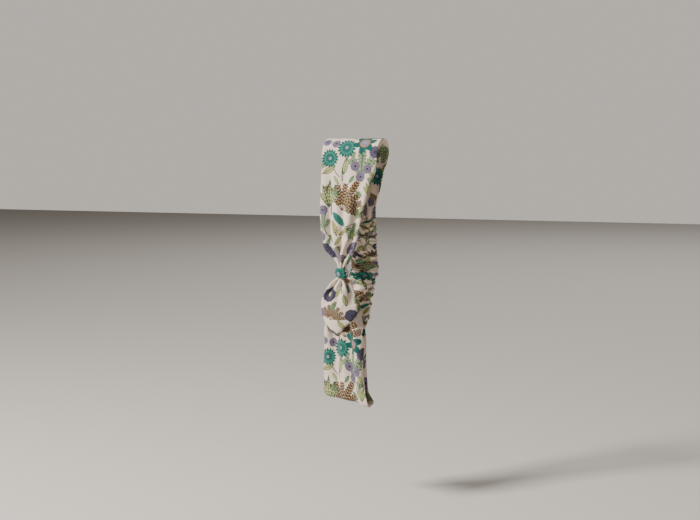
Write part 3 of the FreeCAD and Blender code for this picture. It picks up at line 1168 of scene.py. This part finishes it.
def printedCotton(band):
    # each band of the print has a material of its own, with just the motifs that reach into it
    print("print band", band + 1)
    height = printed["down"] / printed["bands"]
    lowest, highest = band * height - printed["spare"], (band + 1) * height + printed["spare"]

    def reaches(down, size):
        repeats = [down + turn * printed["down"] for turn in range(-1, 2)]
        return any(lowest - size < place < highest + size for place in repeats)

    material, s, shader = newMaterial(f"Printed cotton {band + 1}")
    where = s.node("UVMap", {}, uv_map="cut").outputs[0]

    # the ink spreads a little along the threads, so that edges aren't drawn with a ruler
    bleed = s.noise(where, 900.0, 1.0).outputs["Color"]
    nudged = s.vector("MULTIPLY_ADD", {0: bleed, 1: (finish["bleed"], finish["bleed"], 0.0), 2: where})

    colour = ink["ground"]
    half = Vector((printed["across"] / 2 * mm, printed["down"] / 2 * mm, 1.0))
    for kind, way, across, down, turn, size in motifPlan:
        if not reaches(down, size):
            continue
        away = s.vector("SUBTRACT", {0: nudged, 1: (across * mm, down * mm, 0.0)})
        repeat = s.vector("WRAP", {0: away, 1: half, 2: -half})
        scale = 1 / (size * mm)
        placing = s.node("Mapping", {
            "Vector": repeat,
            "Rotation": (0.0, 0.0, math.radians(turn)),
            "Scale": (scale, -scale, 1.0),
        })
        main, second, line = (ink[name] for name in colourways[way])
        given = {"At": placing.outputs[0], "Main": main, "Second": second, "Line": line, "Below": colour}
        colour = s.node("Group", given, node_tree=motifs[kind]).outputs["Colour"]

    # plain weave: two thread directions, with uneven yarns. The slub and the uneven yarns vary the
    # cloth's own tone; the weave term darkens the colour where the weave's relief is low, which is
    # painted shade between the threads
    threads = s.noise(where, 2600.0, 2.0).outputs["Fac"]
    slub = s.noise(where, 140.0, 3.0).outputs["Fac"]
    apart = s.node("SeparateXYZ", {0: where})
    turns = 2 * math.pi / finish["threadPitch"]
    weave = s.mul(*(s.maths("SINE", s.mul(apart.outputs[axis], turns)) for axis in (0, 1)))
    # painted shade: the weave term makes the colour darker in the low points of the weave, on top of the
    # yarn's own tone
    yarnToneAndWeaveShade = s.fma(weave, 0.035, s.fma(slub, 0.14, 0.91))
    yarnToneAndWeaveShade = s.fma(s.sub(threads, 0.5), 0.10, yarnToneAndWeaveShade)
    relief = s.add(s.mul(weave, 0.5), s.mul(threads, 0.8))
    fine = s.node("Bump", {"Strength": 0.3, "Distance": finish["threadRelief"], "Height": relief})
    rumple = s.node("Bump", {
        "Strength": finish["rumple"],
        "Distance": cloth["creaseSize"] * mm * 2,
        "Height": s.noise(where, 95.0, 4.0, 0.6).outputs["Fac"],
        "Normal": fine.outputs[0],
    })
    s.give(shader, {
        "Base Color": s.vector("SCALE", {0: colour, "Scale": yarnToneAndWeaveShade}),
        "Normal": rumple.outputs[0],
        "Roughness": s.fma(threads, 0.12, finish["roughness"]),
        "Specular IOR Level": finish["specular"],
        "Sheen Weight": finish["sheen"],
        "Sheen Roughness": 0.5,
    })
    return material


def plainFibre(name, colour, scale, roughness):
    material, s, shader = newMaterial(name)
    grain = s.noise(s.node("TexCoord", {}).outputs["Object"], scale, 3.0).outputs["Fac"]
    bump = s.node("Bump", {"Strength": 0.5, "Distance": 0.0001, "Height": grain})
    s.give(shader, {
        "Base Color": s.vector("SCALE", {0: colour[:3], "Scale": s.fma(grain, 0.3, 0.85)}),
        "Normal": bump.outputs[0],
        "Roughness": s.fma(grain, 0.15, roughness),
        "Sheen Weight": 0.1,
    })
    return material


print("materials")
motifs = {
    "daisy": motifGroup("Daisy", drawDaisy),
    "star": motifGroup("Star flower", drawStar),
    "bloom": motifGroup("Round bloom", drawBloom),
    "fern": motifGroup("Fern fan", fanOf(7, 1.2, 0.094, 0.066, 0.15, 0.11)),
    "spray": motifGroup("Leafy spray", fanOf(3, 0.62, 0.115, 0.100, 0.3, 0.26)),
    "blades": motifGroup("Fan of blades", drawBlades),
    "leaf": motifGroup("Striped leaf", drawLeaf),
    "stem": motifGroup("Stem", drawStem),
    "spike": motifGroup("Flower spike", drawSpike),
}
elasticKnit = plainFibre("Elastic knit", srgb(236, 233, 226), 1800.0, 0.7)
thread = plainFibre("Sewing thread", srgb(226, 216, 200), 4000.0, 0.65)

cottons = [printedCotton(band) for band in range(printed["bands"])]
clothPieces = [bandTop, bandGathers, knotWrap, bandLobe, bandLower, flapUpper, flapLower]
for piece in clothPieces + [casingUpper, casingLower]:
    for cotton in cottons:
        piece.data.materials.append(cotton)
for piece in (elasticUpper, elasticLower):
    for face in piece.data.polygons:
        face.material_index = 0
    piece.data.materials.append(elasticKnit)
for piece in (stitchesUpper, stitchesLower, knotTacks):
    piece.data.materials.append(thread)

# the knot's pieces and the join stitches hang on their bodies, the other pieces keep their place; the
# CAD parts that the pieces replace are hidden


def at(y, z):
    return (0.0, y * mm, z * mm)


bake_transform(bandTop)
at(knotY, knotZ + 16.0)
at(knotY, knotZ + 3.0)
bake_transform(bandGathers)
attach(knotWrap, "knot")
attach(knotTacks, "knot")
at(knotY, knotZ - 3.0)
at(knotY, knotZ - 16.0)
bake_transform(bandLobe)
at(foldY, foldZ - 6.0)
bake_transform(bandLower)
at(foldY, foldZ - 6.0)
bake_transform(flapLower)
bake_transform(flapUpper)
at(elasticY, upperJoinZ - 5)
at(elasticY, middleTopZ)
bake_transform(casingUpper)
at(elasticY, elasticZ + 9)
at(elasticY, elasticZ - 12)
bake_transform(casingLower)
at(elasticY, upperJoinZ - 5)
at(elasticY, middleTopZ)
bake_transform(elasticUpper)
at(elasticY, elasticZ + 9)
at(elasticY, elasticZ - 12)
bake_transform(elasticLower)
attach(stitchesUpper, "back_upper")
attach(stitchesLower, "back_lower")

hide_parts("band_top_outer", "band_top_lining", "band_front_outer", "band_front_lining")
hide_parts("band_centre_gathers")
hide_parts("knot_wrap")
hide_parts("knot_tack_stitches")
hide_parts("band_lobe_outer", "band_lobe_lining")
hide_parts("band_lower_outer", "band_lower_lining", "band_fold_outer", "band_fold_lining")
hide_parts("back_flap_lower_outer", "back_flap_lower_lining")
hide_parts("back_flap_upper_outer", "back_flap_upper_lining")
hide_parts("casing_upper")
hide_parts("casing_middle", "casing_lower")
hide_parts("elastic_upper")
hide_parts("elastic_middle", "elastic_lower")
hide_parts("upper_join_stitches")
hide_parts("lower_join_stitches")

# floor, light and camera

studio = {
    "floorZ": -0.30,
    "floorTint": srgb(218, 213, 206),
    "azimuth": 26.0,
    "distance": 1.174,
    "aside": -0.0051,
    "pitch": 4.35,
    "lens": 71.0,
    "skyTint": (0.95, 0.88, 0.80, 1.0),
    "fill": 0.14,  # the sky's light on the cloth
    "backdrop": 0.62,  # and as the camera sees it
    # place, target, size, watts and tint
    "lights": {
        "key": ((-0.67, -1.07, 0.88), (0.0, 0.0, -0.1), 0.35, 44.0, (1.0, 0.96, 0.91)),
        "overhead": ((0.0, 2.4, 2.2), (0.0, 2.4, -0.1), 3.0, 50.0, (1.0, 0.97, 0.93)),
    },
}


def buildFloor():
    bm = bmesh.new()
    bmesh.ops.create_grid(bm, x_segments=8, y_segments=8, size=5.0)
    for vert in bm.verts:
        vert.co.z = studio["floorZ"]
    floor = pieceFrom(bm, "floor")
    material, s, shader = newMaterial("Pale floor")
    s.give(shader, {"Base Color": studio["floorTint"], "Roughness": 0.9})
    floor.data.materials.append(material)


def softLight(name, place, target, size, power, tint):
    data = bpy.data.lights.new(name, "AREA")
    data.energy = power
    data.size = size
    data.color = tint
    light = bpy.data.objects.new(name, data)
    light.location = place
    aim = Vector(target) - light.location
    light.rotation_euler = aim.to_track_quat("-Z", "Y").to_euler()
    bpy.context.scene.collection.objects.link(light)


def buildStudio():
    buildFloor()
    for name, light in studio["lights"].items():
        softLight(name, *light)
    world = bpy.data.worlds.new("studio")
    bpy.context.scene.world = world
    world.use_nodes = True
    s = Sums(world.node_tree)
    ray = s.node("LightPath", {}).outputs["Is Camera Ray"]
    level = s.node("MapRange", {"Value": ray, "To Min": studio["fill"], "To Max": studio["backdrop"]})
    s.give(world.node_tree.nodes["Background"], {
        "Color": studio["skyTint"],
        "Strength": level.outputs["Result"],
    })


def buildCamera():
    turn = math.radians(studio["azimuth"])
    data = bpy.data.cameras.new("camera")
    data.lens = studio["lens"]
    data.sensor_width = 36.0
    camera = bpy.data.objects.new("camera", data)
    toward = Vector((math.sin(turn), -math.cos(turn), 0.0))
    aside = Vector((math.cos(turn), math.sin(turn), 0.0))
    camera.location = toward * studio["distance"] + aside * studio["aside"]
    camera.rotation_euler = (math.radians(90.0 - studio["pitch"]), 0.0, turn)
    bpy.context.scene.collection.objects.link(camera)
    bpy.context.scene.camera = camera


print("studio")
buildStudio()
buildCamera()
